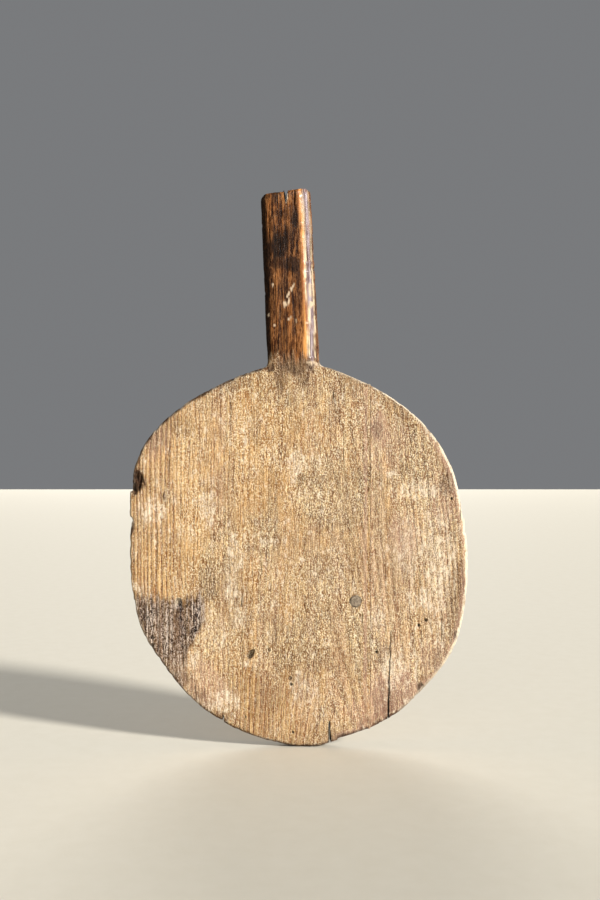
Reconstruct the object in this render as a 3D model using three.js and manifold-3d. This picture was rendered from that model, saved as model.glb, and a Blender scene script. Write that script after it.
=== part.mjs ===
// An old wooden pizza peel with a short handle. Two pine boards are joined edge to edge: the wide one
// runs on into the handle, and the narrow one is held to it by two loose tongues hidden in the joint.
// A round wooden peg pins the lower tongue and shows on both faces.
//
// Millimetres. +Z runs along the grain to the handle, and -Y is the working face. The origin is under
// the middle of the blade, level with its lowest point.

import * as THREE from 'three';
import { mergeVertices } from 'three/addons/utils/BufferGeometryUtils.js';
import Module from 'manifold-3d';

const wasm = await Module();
wasm.setup();

// Plank
const THICKNESS = 24; // at the neck and handle
const FAR_THICKNESS = 16; // at the far edge of the blade, which thins towards it on the front
const THINNING_START = 284; // height above the far edge where the thinning begins
const RIM = 3.5; // rounding of the worn rim
const GAP = 0.3; // clearance between pieces that touch
const PAST = 5; // how far a cutting solid runs past what it cuts

// Blade: a round with flattened sides, cut by eye. [x, z] round the rim, from the neck past the left side.
const BLADE_LENGTH = 318.5;
const BLADE_OUTLINE = [
  [-4, BLADE_LENGTH], [-25, 317.4], [-57, 306.5], [-96, 285], [-126, 256.5], [-139.3, 222], [-140.6, 178],
  [-140, 140], [-132, 100], [-114, 70], [-90, 40.5], [-58, 17.5], [-21, 4], [10, 0.1], [40, 8.5], [78, 25.5],
  [107, 52], [130, 84], [139, 122], [140.6, 159], [137, 196], [127.5, 233], [107, 266], [76, 292], [45, 308],
  [18, 317.8],
];

// Handle: a rounded bar that narrows a little, leans to the left of the blade's grain and ends in a sloping cut.
const HANDLE_LENGTH = 144.5;
const HANDLE_WIDTH = 43.8; // at the neck
const HANDLE_END_WIDTH = 42.2;
const HANDLE_CORNER = 9.5;
const HANDLE_LEAN = THREE.MathUtils.degToRad(2.7);
const HANDLE_NECK_X = -4.5;
const HANDLE_ROOT = 30; // how far the bar runs on into the blade
const END_SLOPE = 0.1; // rise of the sawn end across the handle, mm per mm
const END_ROUNDING = 4;

// Joint between the boards
const SEAM_X = 59;
const TONGUE = { length: 60, thickness: 7, width: 36, y: 2.5, corner: 1.5 };
const TONGUE_HEIGHTS = { lower_tongue: 122, upper_tongue: 236 };
const PEG = { x: 47, z: 122, radius: 4.8, sides: 32, recess: 0.2, chamfer: 0.5 };

const WOOD = {
  main_board: { color: 0xb58a5a, roughness: 0.82 },
  side_board: { color: 0xb8926a, roughness: 0.86 },
  lower_tongue: { color: 0xa8814f, roughness: 0.8 },
  upper_tongue: { color: 0xa8814f, roughness: 0.8 },
  tongue_peg: { color: 0x6d655b, roughness: 0.9 },
};

function toSolid(geometry) {
  const bare = geometry.clone();
  bare.deleteAttribute('normal');
  bare.deleteAttribute('uv');
  const merged = mergeVertices(bare);
  const mesh = new wasm.Mesh({
    numProp: 3,
    vertProperties: new Float32Array(merged.attributes.position.array),
    triVerts: new Uint32Array(merged.index.array),
  });
  return new wasm.Manifold(mesh);
}

function toGeometry(solid) {
  const mesh = solid.getMesh();
  const geometry = new THREE.BufferGeometry();
  geometry.setAttribute('position', new THREE.BufferAttribute(mesh.vertProperties, 3));
  geometry.setIndex(new THREE.BufferAttribute(mesh.triVerts, 1));
  geometry.computeVertexNormals();
  return geometry;
}

// A rectangle with round corners, centred on the origin
function roundedRectangle(width, height, radius) {
  const [x, y] = [width / 2 - radius, height / 2 - radius];
  return new THREE.Shape()
    .absarc(x, y, radius, 0, Math.PI / 2)
    .absarc(-x, y, radius, Math.PI / 2, Math.PI)
    .absarc(-x, -y, radius, Math.PI, Math.PI * 1.5)
    .absarc(x, -y, radius, Math.PI * 1.5, Math.PI * 2);
}

// The outline as a slab of full thickness, standing up with its faces towards -Y and +Y
function bladeSlab() {
  const [start, ...rest] = BLADE_OUTLINE.map(([x, z]) => new THREE.Vector2(x, z));
  const outline = new THREE.Shape().moveTo(start.x, start.y).splineThru([...rest, start]);
  const slab = new THREE.ExtrudeGeometry(outline, {
    depth: THICKNESS - 2 * RIM,
    bevelThickness: RIM,
    bevelSize: RIM,
    bevelOffset: -RIM,
    bevelSegments: 3,
    curveSegments: 4,
  });
  slab.rotateX(Math.PI / 2);
  slab.translate(0, THICKNESS / 2 - RIM, 0);
  return toSolid(slab);
}

// How much thinner the blade is at a height than at the neck
function thinning(z) {
  return ((THICKNESS - FAR_THICKNESS) * (THINNING_START - z)) / THINNING_START;
}

// What planing and wear have taken off the front
function frontWedge() {
  const front = -THICKNESS / 2;
  const profile = new THREE.Shape()
    .moveTo(front, THINNING_START)
    .lineTo(front - PAST, THINNING_START)
    .lineTo(front - PAST, -PAST)
    .lineTo(front + thinning(-PAST), -PAST);
  const wedge = new THREE.ExtrudeGeometry(profile, { depth: BLADE_LENGTH, bevelEnabled: false });
  const [alongX, alongY, alongZ] = [0, 1, 2].map((i) => new THREE.Vector3().setComponent(i, 1));
  wedge.applyMatrix4(new THREE.Matrix4().makeBasis(alongY, alongZ, alongX));
  wedge.translate(-BLADE_LENGTH / 2, 0, 0);
  return toSolid(wedge);
}

// Everything on one side of the joint: side is -1 for the main board and 1 for the side board
function sideOfSeam(side) {
  const size = 2 * BLADE_LENGTH;
  const half = new THREE.BoxGeometry(size, size, size);
  half.translate(SEAM_X + side * (size + GAP) / 2, 0, BLADE_LENGTH / 2);
  return toSolid(half);
}

function handleBar() {
  const bar = new THREE.ExtrudeGeometry(roundedRectangle(HANDLE_WIDTH, THICKNESS, HANDLE_CORNER), {
    depth: HANDLE_ROOT + HANDLE_LENGTH - END_ROUNDING,
    bevelThickness: END_ROUNDING,
    bevelSize: END_ROUNDING,
    bevelOffset: -END_ROUNDING,
    bevelSegments: 4,
    curveSegments: 6,
  });
  bar.translate(0, 0, -HANDLE_ROOT);
  const narrowing = (HANDLE_WIDTH - HANDLE_END_WIDTH) / HANDLE_WIDTH / HANDLE_LENGTH;
  const place = bar.attributes.position;
  for (let i = 0; i < place.count; i++) {
    place.setX(i, place.getX(i) * (1 - narrowing * place.getZ(i)));
  }
  bar.applyMatrix4(new THREE.Matrix4().makeShear(0, END_SLOPE, 0, 0, 0, 0));
  bar.rotateY(-HANDLE_LEAN);
  bar.translate(HANDLE_NECK_X, 0, BLADE_LENGTH);
  return toSolid(bar);
}

function tongueGeometry(clearance) {
  const { length, thickness, width, corner } = TONGUE;
  const face = roundedRectangle(length + 2 * clearance, width + 2 * clearance, corner);
  const tongue = new THREE.ExtrudeGeometry(face, {
    depth: thickness + 2 * clearance,
    bevelEnabled: false,
    curveSegments: 4,
  });
  tongue.rotateX(Math.PI / 2);
  tongue.translate(0, thickness / 2 + clearance, 0);
  return tongue;
}

function mortises() {
  return Object.values(TONGUE_HEIGHTS)
    .map((z) => toSolid(tongueGeometry(GAP).translate(SEAM_X, TONGUE.y, z)))
    .reduce((all, one) => all.add(one));
}

function pegHole() {
  const hole = new THREE.CylinderGeometry(PEG.radius + GAP, PEG.radius + GAP, THICKNESS + PAST, PEG.sides);
  return toSolid(hole.translate(PEG.x, 0, PEG.z));
}

function tongue(name) {
  const z = TONGUE_HEIGHTS[name];
  const whole = toSolid(tongueGeometry(0));
  const hole = pegHole().translate([-SEAM_X, 0, -z]);
  return part(name, toGeometry(whole.subtract(hole)), [SEAM_X, TONGUE.y, z]);
}

// A whittled peg, chamfered at both ends, just below both faces of the blade
function tonguePeg() {
  const half = (THICKNESS - thinning(PEG.z)) / 2 - PEG.recess;
  const profile = [
    [0, -half], [PEG.radius - PEG.chamfer, -half], [PEG.radius, PEG.chamfer - half],
    [PEG.radius, half - PEG.chamfer], [PEG.radius - PEG.chamfer, half], [0, half],
  ].map(([r, y]) => new THREE.Vector2(r, y));
  const peg = toGeometry(toSolid(new THREE.LatheGeometry(profile, PEG.sides)));
  return part('tongue_peg', peg, [PEG.x, thinning(PEG.z) / 2, PEG.z]);
}

function mainBoard(blade, cuts) {
  const board = blade.intersect(sideOfSeam(-1)).add(handleBar());
  return part('main_board', toGeometry(board.subtract(cuts).subtract(pegHole())));
}

function sideBoard(blade, cuts) {
  return part('side_board', toGeometry(blade.intersect(sideOfSeam(1)).subtract(cuts)));
}

function part(name, geometry, position = [0, 0, 0]) {
  const material = new THREE.MeshStandardMaterial({ ...WOOD[name], metalness: 0, flatShading: true });
  const mesh = new THREE.Mesh(geometry, material);
  mesh.name = name;
  mesh.position.set(...position);
  return mesh;
}

const blade = bladeSlab().subtract(frontWedge());
const cuts = mortises();
const peel = new THREE.Group();
peel.add(mainBoard(blade, cuts), sideBoard(blade, cuts));
peel.add(...Object.keys(TONGUE_HEIGHTS).map(tongue), tonguePeg());

export default peel;
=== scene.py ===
"""The looks of an old pizza peel: two weathered pine boards, the wider one running on into a handle
that hands have polished dark. Each board is one mesh with its grain, rim wear, checks, chips and
holes as real relief. Lengths in the code are millimetres until a mesh is made; x runs across the
blade, z up the grain, -y to the front.
"""

import math
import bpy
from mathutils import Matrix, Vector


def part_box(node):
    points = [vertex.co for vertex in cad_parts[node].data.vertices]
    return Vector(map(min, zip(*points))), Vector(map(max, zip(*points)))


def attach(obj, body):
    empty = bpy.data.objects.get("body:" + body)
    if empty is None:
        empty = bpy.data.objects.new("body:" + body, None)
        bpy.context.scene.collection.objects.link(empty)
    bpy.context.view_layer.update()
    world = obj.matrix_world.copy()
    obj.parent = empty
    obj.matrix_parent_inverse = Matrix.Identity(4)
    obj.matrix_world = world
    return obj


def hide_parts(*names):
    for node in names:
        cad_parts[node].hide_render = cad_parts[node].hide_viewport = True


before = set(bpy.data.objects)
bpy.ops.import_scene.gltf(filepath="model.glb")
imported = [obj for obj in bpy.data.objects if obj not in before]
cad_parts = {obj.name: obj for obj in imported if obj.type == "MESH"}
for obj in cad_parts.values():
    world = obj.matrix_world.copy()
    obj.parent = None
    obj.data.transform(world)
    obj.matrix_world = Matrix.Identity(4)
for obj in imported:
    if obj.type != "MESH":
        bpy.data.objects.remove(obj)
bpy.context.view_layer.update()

from types import SimpleNamespace

import bmesh
import bpy
import numpy as np
from mathutils import Vector
from mathutils.geometry import delaunay_2d_cdt
from mathutils.kdtree import KDTree

MM = 0.001

# Surface sampling
FRONT_SPACING = (0.75, 1.7)  # spacing of surface points across and along the grain
BACK_SPACING = (1.2, 3.0)
EDGE_STEP = 0.9  # spacing of points round an outline
WALL_ROWS = 7  # rows of points down an edge, between the front's rim and the back's
RIM_ROWS = (0.03, 0.1, 0.2, 0.33, 0.48, 0.65, 0.84)  # rows across a rim, as shares of its radius

# Camera: square-on to the blade, at the distance and height that the object is seen from
CAMERA_DISTANCE = 920.0
CAMERA_LIFT = 15.1  # above the middle of the peel's height
CAMERA_SHIFT = 0.8  # to the right of the peel's middle
FIELD_AT_PEEL = 753.0  # height of the view where the peel stands
SENSOR = 36.0
FLOOR_SIZE = 12.0  # metres


# -------- repeatable noise

def lattice(i, j, k, seed):
    """A repeatable random value from 0 to 1 for each cell of a whole-numbered grid"""
    mask = 0xFFFFFFFF
    h = (i * 0x8DA6B343 ^ j * 0xD8163841 ^ k * 0xCB1AB31F ^ seed * 0x9E3779B1) & mask
    h = ((h ^ (h >> 15)) * 0x2C1B3C6D) & mask
    h = ((h ^ (h >> 12)) * 0x297A2D39) & mask
    return (h ^ (h >> 15)) / mask


def noise(points, size, seed, octaves=1):
    """Smooth noise from about -1 to 1 at points (n, 3); size is one length, or one for each direction"""
    total, weight = np.zeros(len(points)), 0.0
    for octave in range(octaves):
        p = points / np.asarray(size, float) * 2**octave
        cell = np.floor(p).astype(np.int64)
        f = p - cell
        f = f * f * (3 - 2 * f)
        value = np.zeros(len(points))
        for corner in np.ndindex(2, 2, 2):
            share = np.prod(np.where(corner, f, 1 - f), axis=1)
            value += share * lattice(*(cell + corner).T, seed + 31 * octave)
        total += (2 * value - 1) * 0.5**octave
        weight += 0.5**octave
    return total / weight


def ramp(value, low, high):
    """0 below low, 1 above high, and smooth between; low may be the larger"""
    t = np.clip((value - low) / (high - low), 0, 1)
    return t * t * (3 - 2 * t)


# -------- what the frame says

def corners(node):
    """A CAD node's lowest and highest corner, in millimetres"""
    return [np.array(corner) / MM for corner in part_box(node)]


SECTION_DEPTH = -2.5  # a cut here misses the mortises and the rounded rims
THINNING_START = 284.0  # above this height the blade has its full thickness
PEG_RECESS = 0.2

_, main_high = corners("main_board")
side_low, side_high = corners("side_board")
peg_low, peg_high = corners("tongue_peg")
FRONT, BACK = side_low[1], side_high[1]
SEAM = (main_high[0] + side_low[0]) / 2
TOP = main_high[2]
peg_x, peg_y, peg_z = (peg_low + peg_high) / 2
PEG_RADIUS = (peg_high[0] - peg_low[0]) / 2
THINNING = (peg_low[1] - PEG_RECESS - FRONT) / (THINNING_START - peg_z)


def front_plane(z):
    """Depth of the blade's front, which is planed thinner towards the far edge"""
    return FRONT + THINNING * np.maximum(THINNING_START - z, 0)


def section(node):
    """The longest loop where a plane facing Y cuts a CAD node: points (x, z), anticlockwise"""
    solid = bmesh.new()
    solid.from_mesh(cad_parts[node].data)
    bmesh.ops.remove_doubles(solid, verts=solid.verts, dist=1e-6)
    everything = solid.verts[:] + solid.edges[:] + solid.faces[:]
    cut = bmesh.ops.bisect_plane(
        solid, geom=everything, dist=1e-7, plane_co=(0, SECTION_DEPTH * MM, 0), plane_no=(0, 1, 0)
    )
    beside = {}
    for edge in (g for g in cut["geom_cut"] if isinstance(g, bmesh.types.BMEdge)):
        for a, b in (edge.verts, reversed(edge.verts)):
            beside.setdefault(a, []).append(b)
    loops = []
    while beside:
        loop = [next(iter(beside))]
        while loop[-1] in beside:
            onward = [v for v in beside.pop(loop[-1]) if v in beside]
            loop.extend(onward[:1])
        loops.append(np.array([(v.co.x, v.co.z) for v in loop]) / MM)
    solid.free()
    longest = max(loops, key=lambda loop: np.ptp(loop, axis=0).sum())
    return longest if turn_area(longest) > 0 else longest[::-1]


def turn_area(loop):
    """The outline's area, positive if it runs anticlockwise"""
    x, z = loop.T
    return np.sum(x * np.roll(z, -1) - z * np.roll(x, -1)) / 2


def turning(loop):
    """How far the outline turns at each point, in degrees, left turns positive"""
    into, out = loop - np.roll(loop, 1, 0), np.roll(loop, -1, 0) - loop
    cross = into[:, 0] * out[:, 1] - into[:, 1] * out[:, 0]
    return np.degrees(np.arctan2(cross, np.sum(into * out, axis=1)))


def resample(loop):
    """The outline at an even spacing, keeping its corners, and its inward corners on their own"""
    loop = loop[np.linalg.norm(loop - np.roll(loop, 1, 0), axis=1) > 0.01]
    sharp = np.flatnonzero(np.abs(turning(loop)) > 35)
    loop = np.roll(loop, -sharp[0], axis=0)
    stops = list(sharp - sharp[0]) + [len(loop)]
    closed = np.vstack([loop, loop[:1]])
    points, concave = [], []
    for start, stop in zip(stops, stops[1:]):
        run = closed[start : stop + 1]
        along = np.r_[0, np.cumsum(np.linalg.norm(np.diff(run, axis=0), axis=1))]
        at = np.linspace(0, along[-1], max(2, int(along[-1] / EDGE_STEP)) + 1)[:-1]
        points.append(np.c_[np.interp(at, along, run[:, 0]), np.interp(at, along, run[:, 1])])
        if turning(loop)[start] < 0:
            concave.append(loop[start])
    return np.vstack(points), concave


def soften(loop, weight, rounds):
    """Rounds the outline's corners, moving each point by its weight"""
    for _ in range(rounds):
        middle = (np.roll(loop, 1, 0) + np.roll(loop, -1, 0)) / 2
        loop = loop + (middle - loop) * 0.5 * weight[:, None]
    return loop


def normals_of(loop):
    """The inward direction at each point of an anticlockwise outline"""
    tangent = np.roll(loop, -1, 0) - np.roll(loop, 1, 0)
    tangent /= np.linalg.norm(tangent, axis=1)[:, None]
    return np.c_[-tangent[:, 1], tangent[:, 0]]


# -------- marks of use on the blade

# Bites out of the rim: (x, z) of the abrupt end, depth, and how far it tapers off anticlockwise, or
# clockwise if that is below 0
BITES = [
    ((-137, 213.5), 2.3, -19), ((-140, 191.5), 2.5, 17), ((140, 178), 1.3, 14), ((139, 192), 1.5, 62),
    ((-64, 21), 1.6, -9), ((33, 6), 1.3, 16), ((-139, 122), 1, 12), ((-124, 84), 0.9, 10),
    ((96, 43), 1, 13), ((-118, 264), 0.8, -11), ((126, 236), 0.9, 20), ((70, 295), 0.5, 12),
]
# Splinters gone from the front at the rim: x, z, reach across and along, depth
SPLINTERS = [
    (-135.5, 221.5, 8, 10.5, 4.2), (-112, 209.5, 1, 4.5, 1.2), (38, 2.5, 11, 4.5, 3.6),
    (-66, 17, 5, 4, 2), (-139.5, 184, 3.2, 8, 1.8), (136, 236, 2.4, 16, 1.6), (101, 50, 4, 4.5, 1.8),
    (-23, 316, 3, 4, 1.3), (131, 92, 3, 8, 1.4),
]
# Checks open at an edge: (x, z) of the mouth, of the tip, and the width at the mouth
SLITS = [
    ((74.2, 22), (75.5, 74), 0.8), ((25.8, 0), (25.2, 22), 2.1), ((-63.8, 17), (-63.2, 27), 1.3),
    ((-10.8, 467), (-11.2, 452.5), 3.2),
]
# Closed checks along the grain: x, z of one end, x, z of the other, width and depth
CHECKS = [
    (75.5, 72, 76, 97, 0.65, 1.5), (28.6, 289, 28.2, 297, 0.7, 1.5),
    (-47.8, 116.5, -47.6, 128.5, 0.7, 1.4), (-31.8, 146, -31.5, 156.5, 0.6, 1),
    (-47.5, 60, -47.6, 106, 0.4, 0.3), (52.6, 103, 52.4, 113, 0.7, 1.2), (-20, 86, -19.6, 99, 0.8, 0.8),
    (133.6, 189, 134.2, 219, 1, 2.4), (-3.6, 445, -3.9, 465.5, 0.7, 1.6),
    (-57, 270, -56.6, 290, 0.5, 0.6), (12, 60, 12.4, 84, 0.45, 0.5), (-96, 60, -96.4, 84, 0.6, 0.9),
    (99, 120, 99.6, 150, 0.5, 0.6), (4, 150, 3.6, 176, 0.4, 0.4), (-118, 150, -117.7, 186, 0.5, 0.7),
    (37, 226, 36.4, 262, 0.45, 0.5), (107, 205, 106.4, 236, 0.5, 0.5), (-18, 332, -20.4, 392, 0.5, 0.8),
    (-24, 400, -25, 452, 0.5, 0.7), (-2, 326, -3.5, 364, 0.4, 0.6), (-108, 224, -107.6, 258, 0.5, 0.6),
    (-86, 30, -86, 58, 0.6, 0.8), (-127, 100, -127, 128, 0.6, 0.8), (118, 84, 118.4, 112, 0.5, 0.6),
]
# Holes and knots: x, z, radii across and along, tilt in degrees, depth
PITS = [
    (-40.2, 77.8, 2.5, 4.8, -32, 3.4), (-100, 121, 3.2, 4, 10, 2.3), (126.4, 207.5, 1.1, 1.2, 0, 3.5),
    (-117.2, 266.1, 1, 1.2, 0, 3), (64.4, 79.7, 1.1, 1.2, 0, 3), (99.6, 102.1, 1.2, 1.5, 0, 2.8),
    (-25.1, 81.2, 1.4, 1.7, 20, 0.9), (-7.5, 57.9, 1.7, 1.8, 0, 1), (-6.7, 52.6, 1.3, 1.5, 0, 2.2),
    (-5, 12.6, 1.1, 1.3, 0, 1.6), (-56, 153, 1, 1.6, 0, 0.8), (-121.8, 91.7, 2, 1.5, 0, 1.3),
    (-121.8, 85.4, 1.4, 1.7, 0, 1.3), (1.7, 224, 1.2, 1.5, 0, 0.3), (-44.5, 25.5, 0.9, 1.1, 0, 1.2),
    (105.4, 106.5, 1.6, 1.6, 0, 2.2), (58.6, 233, 1.3, 1.5, 0, 0.7),
]
# Knots that the rings bend round: x, z, reach, and strength in rings
KNOTS = [
    (-40.2, 77.8, 9, 0.8), (-100, 121, 11, 1.2), (66, 80, 9, 0.8), (65, 266, 10, 1.1), (-7, 55, 7, 0.5),
]

# Stains: x, z, radii across and along, strength. Two of the grime marks, at (-136, 222) and (38, 8), are
# painted shadow in the chips at the left rim and at the bottom edge
GRIME_AND_SHADE = [
    (-82, 34, 14, 9, 0.4), (-136, 222, 7, 11, 1), (-74, 138, 7, 13, 0.4), (-60, 150, 6, 14, 0.3),
    (65, 266, 6, 11, 0.45), (121, 219, 8, 9, 0.5), (-15, 310, 7, 18, 0.6), (-5, 319, 19, 10, 0.95),
    (4, 308, 5, 9, 0.6), (-118, 258, 9, 13, 0.4), (-51, 140, 4, 22, 0.2), (2, 224, 4, 7, 0.45),
    (70, 79, 6, 8, 0.3), (30, 282, 6, 15, 0.35), (14, 70, 12, 20, 0.12), (131, 120, 9, 34, 0.3),
    (-60, 304, 20, 8, 0.35), (-44, 120, 6, 24, 0.12), (117, 68, 10, 16, 0.35), (-97, 268, 14, 8, 0.3),
    (-97, 58, 10, 9, 0.65), (-85, 43, 12, 8, 0.5), (-66, 26, 14, 6, 0.45), (38, 8, 13, 5, 0.55),
    (-4, 60, 5, 9, 0.2), (-36, 268, 5, 16, 0.25),
]
RUST = [
    (76, 40, 25, 26, 0.75), (97, 46, 11, 12, 0.6), (112, 76, 12, 22, 0.35), (88, 178, 13, 22, 0.4),
    (74, 252, 20, 24, 0.25), (66, 264, 9, 15, 0.6), (118, 202, 12, 18, 0.3), (68, 22, 26, 10, 0.75),
    (52, 30, 18, 12, 0.4), (-118, 258, 12, 18, 0.35), (-78, 50, 20, 22, 0.5),
]
FLOUR = [
    (-49, 269, 10, 12, 0.3), (-3, 235, 13, 13, 0.6), (-55, 151, 9, 30, 0.6), (-22, 164, 32, 26, 0.3),
    (98, 168, 30, 28, 0.5), (100, 214, 26, 9, 0.6), (90, 68, 13, 22, 0.35), (-66, 36, 18, 12, 0.7),
    (-123, 199, 12, 14, 0.8), (-99, 246, 16, 18, 0.25), (-95, 180, 12, 9, 0.35), (20, 150, 22, 30, 0.25),
    (32, 200, 20, 20, 0.2), (10, 30, 26, 14, 0.35), (-70, 96, 12, 16, 0.45), (-24, 105, 24, 16, 0.25),
    (118, 140, 13, 54, 0.6), (100, 124, 15, 13, 0.7), (-78, 272, 12, 10, 0.3), (-90, 72, 7, 11, 0.5),
    (-101, 60, 10, 16, 0.55), (-101, 120, 4, 5, 0.9), (-116, 112, 12, 6, 0.5), (-38, 71, 8, 6, 0.5),
    (64, 108, 10, 12, 0.4), (-76, 200, 11, 15, 0.6), (0, 50, 15, 13, 0.5), (77, 68, 12, 20, 0.6),
    (-94, 238, 32, 34, 0.28), (-50, 112, 10, 22, 0.45),
]
# Broad zones where the wood has kept its gold, and where it has gone brown
GOLD = [
    (-110, 170, 38, 52, 1), (-92, 244, 32, 36, 1), (-72, 42, 36, 26, 0.45), (0, 22, 50, 20, 0.5),
    (92, 96, 14, 30, 0.4), (-40, 268, 26, 40, 0.5), (24, 266, 30, 30, 0.25), (38, 215, 24, 34, 0.55),
]
UMBER = [
    (12, 90, 62, 28, 0.4), (94, 250, 36, 38, 0.8), (2, 300, 44, 18, 0.6), (-56, 140, 11, 50, 0.3),
    (24, 150, 36, 50, 0.45), (30, 210, 32, 40, 0.95), (-28, 178, 18, 22, 0.8), (114, 78, 20, 34, 0.4),
    (98, 164, 32, 50, 0.42), (-66, 46, 18, 18, 0.55), (-10, 90, 26, 22, 0.75), (50, 88, 14, 28, 0.8),
    (50, 250, 16, 20, 0.5), (-74, 146, 12, 26, 0.6),
]
# Marks on the back, made up: the photo doesn't show it
BACK_GRIME = [
    (66, 120, 15, 50, 0.4), (-74, 226, 11, 34, 0.35), (-6, 312, 20, 14, 0.6), (-112, 96, 13, 36, 0.45),
    (24, 40, 30, 14, 0.35), (96, 220, 8, 30, 0.3),
]
BACK_PITS = [
    (52, 204, 4.2, 6, 12, 0.9), (-88, 140, 0.9, 1.1, 0, 2.5), (96, 92, 0.9, 1.1, 0, 2.5),
    (-34, 268, 1, 1.2, 0, 2.5), (-31, 262, 0.8, 0.9, 0, 2), (14, 66, 1.1, 1.3, 0, 2.2),
]
BACK_CHECKS = [
    (-62, 40, -62.6, 96, 0.9, 1), (20, 240, 19.4, 296, 0.9, 0.9), (102, 150, 102.6, 196, 0.8, 0.8),
    (-12, 330, -15, 398, 0.8, 0.8), (-104, 180, -104, 226, 0.8, 0.8),
]
BACK_FLOUR = [
    (-30, 130, 40, 40, 0.4), (80, 210, 26, 34, 0.35), (-84, 60, 26, 24, 0.4), (0, 250, 30, 22, 0.35),
]

# On the handle: near-black patches, and paler amber ones where the dark has rubbed away; the long band at
# (-28, 400) is painted shade down the handle's left side
SOOT_AND_SHADE = [
    (-3.5, 439, 4.5, 12, 1), (-14, 443, 6, 5, 0.6), (-16, 418, 11, 15, 1), (-8, 426, 8, 9, 0.7),
    (-4, 402, 9, 8, 0.9), (-15, 403, 8, 6, 0.8), (-2, 392, 4.5, 18, 0.5), (-28, 400, 4, 90, 1),
    (-14, 380, 10, 16, 0.35), (-22, 372, 3, 26, 0.4), (-8, 330, 12, 7, 0.25), (-20, 460, 3, 8, 0.8),
    (-2, 460, 2, 10, 0.7), (-13, 360, 10, 5, 0.3), (2, 420, 2, 30, 0.5), (-12, 345, 2, 12, 0.6),
]
AMBER = [
    (-14, 458, 6, 7, 0.9), (-6, 459, 3, 8, 0.8), (-10, 432, 3, 5, 0.8), (-6, 347, 3, 14, 0.45),
    (-18, 384, 5, 12, 0.45), (-12, 338, 9, 12, 0.4), (-20, 344, 3, 20, 0.5), (5, 360, 4, 30, 0.35),
    (2, 340, 3, 14, 0.5), (-9, 380, 6, 14, 0.35),
]
# White scuffs on the handle: x, z, radii across and along, tilt. The one at (11, 319.5) is a painted
# highlight on the neck's right corner
SCUFFS_AND_GLINT = [
    (-5.2, 382.5, 1, 3.6, -32), (-9.5, 375.5, 0.9, 4.5, -30), (-11.6, 368.5, 2.1, 2.8, -20),
    (-8.6, 371, 0.8, 3, -10), (9.2, 381, 1.5, 6, 4), (10.4, 368, 1.9, 3.6, 0), (6.6, 352.8, 1.7, 0.8, 10),
    (2.6, 436.5, 2.6, 0.5, 48), (-21.3, 384.5, 0.9, 1.4, -20), (-25.4, 359.5, 1, 2.6, 0),
    (-7.8, 356.5, 2.2, 1, 25), (-13, 363.5, 0.7, 1.6, 30), (-2.6, 354.5, 0.6, 1.8, 0),
    (11, 319.5, 6.5, 1.4, -8), (-20, 350, 0.8, 1.2, 0), (-10.4, 456, 1, 4.5, -6),
]


def blotches(p, marks, seed, raggedness=0.55):
    """How strongly soft-edged marks cover each point, their edges broken up along the grain"""
    torn = noise(p, (5, 20, 16), seed, 3) * raggedness
    cover = np.zeros(len(p))
    for x, z, across, along, strength in marks:
        away = np.hypot((p[:, 0] - x) / across, (p[:, 2] - z) / along)
        cover = np.maximum(cover, strength * ramp(away + torn, 1.25, 0.55))
    return cover


def hearth_stain(p):
    """The scorched, tarry stain low on the left, ending sharply at the top and sloping away on the right"""
    torn = noise(p, (3, 12, 14), 74, 3)
    below = np.clip(105 - p[:, 2], 0, 27)
    right_edge = -79 - 0.5 * below - 0.13 * np.clip(78 - p[:, 2], 0, 80) + 3.5 * torn
    along_rim = ramp(p[:, 0] + 0.9 * p[:, 2] + 12 * torn, -30, -52)
    cover = ramp(p[:, 0], right_edge + 2, right_edge - 2) * ramp(p[:, 2] + 14 * torn, 130, 120)
    cover = cover * np.maximum(ramp(p[:, 2], 52, 80), 0.8 * along_rim * ramp(p[:, 2], 18, 30))
    darker = ramp(np.abs(p[:, 0] - right_edge + 11), 20, 8) * ramp(p[:, 2], 76, 96)
    return cover * (0.82 + 0.14 * darker + 0.3 * noise(p, (3, 9, 16), 75, 2))


# -------- the wood itself

# The middle of each board's tree: x, y, how they drift per mm of height, and the width of a ring
TREES = {"main_board": (18, 49, -0.035, 0.05, 2.9), "side_board": (-22, 96, -0.05, 0.04, 4.1)}


def rings(p, tree):
    """The ring count at each point of a board, outwards from the middle of its tree"""
    x, y, drift_x, drift_y, width = tree
    height = p[:, 2] - 160
    sway = noise(p * (0, 0, 1), (1, 1, 90), 3, 2) * 2.6
    bent = noise(p, (40, 60, 130), 5, 2) * 1.5
    radius = np.hypot(p[:, 0] - x - drift_x * height - sway, p[:, 1] - y - drift_y * height) + bent
    count = radius / width + 0.45 * np.sin(radius / 9.3) + 0.25 * np.sin(radius / 3.7 + 1)
    for knot_x, knot_z, reach, strength in KNOTS:
        away = np.hypot(p[:, 0] - knot_x, (p[:, 2] - knot_z) / 2.2) / reach
        count = count + strength * np.exp(-away * away * 2)
    return count


def latewood(count):
    """0 in a ring's soft early wood, rising to 1 in its hard late wood and falling off sharply"""
    part = count % 1.0
    return ramp(part, 0.18, 0.55) * ramp(part, 1.0, 0.88)


# -------- from an outline to a board

CUT_ROUNDING = 0.2
END_ROUNDING = 3.2  # at the handle's end
HALF_JOINT = 0.08  # from the middle of the joint to each board
SHUT_AT_BACK = 0.12  # an open check's width at the back, as a share of its width at the front
LEAN = 0.047  # how far the handle leans towards -x, per mm of height
# Lines down the handle, from its middle: near the left edge, the worn arris, and the end of its flat
LEFT_LINE, ARRIS, FLAT_END = -15.6, 13.8, 19.0


def tilted(p, x, z, across, along, tilt):
    """Distance from the middle of a tilted oval, as a share of its radii"""
    c, s = math.cos(math.radians(tilt)), math.sin(math.radians(tilt))
    dx, dz = p[:, 0] - x, p[:, 2] - z
    return np.hypot((c * dx + s * dz) / across, (c * dz - s * dx) / along)


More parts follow.
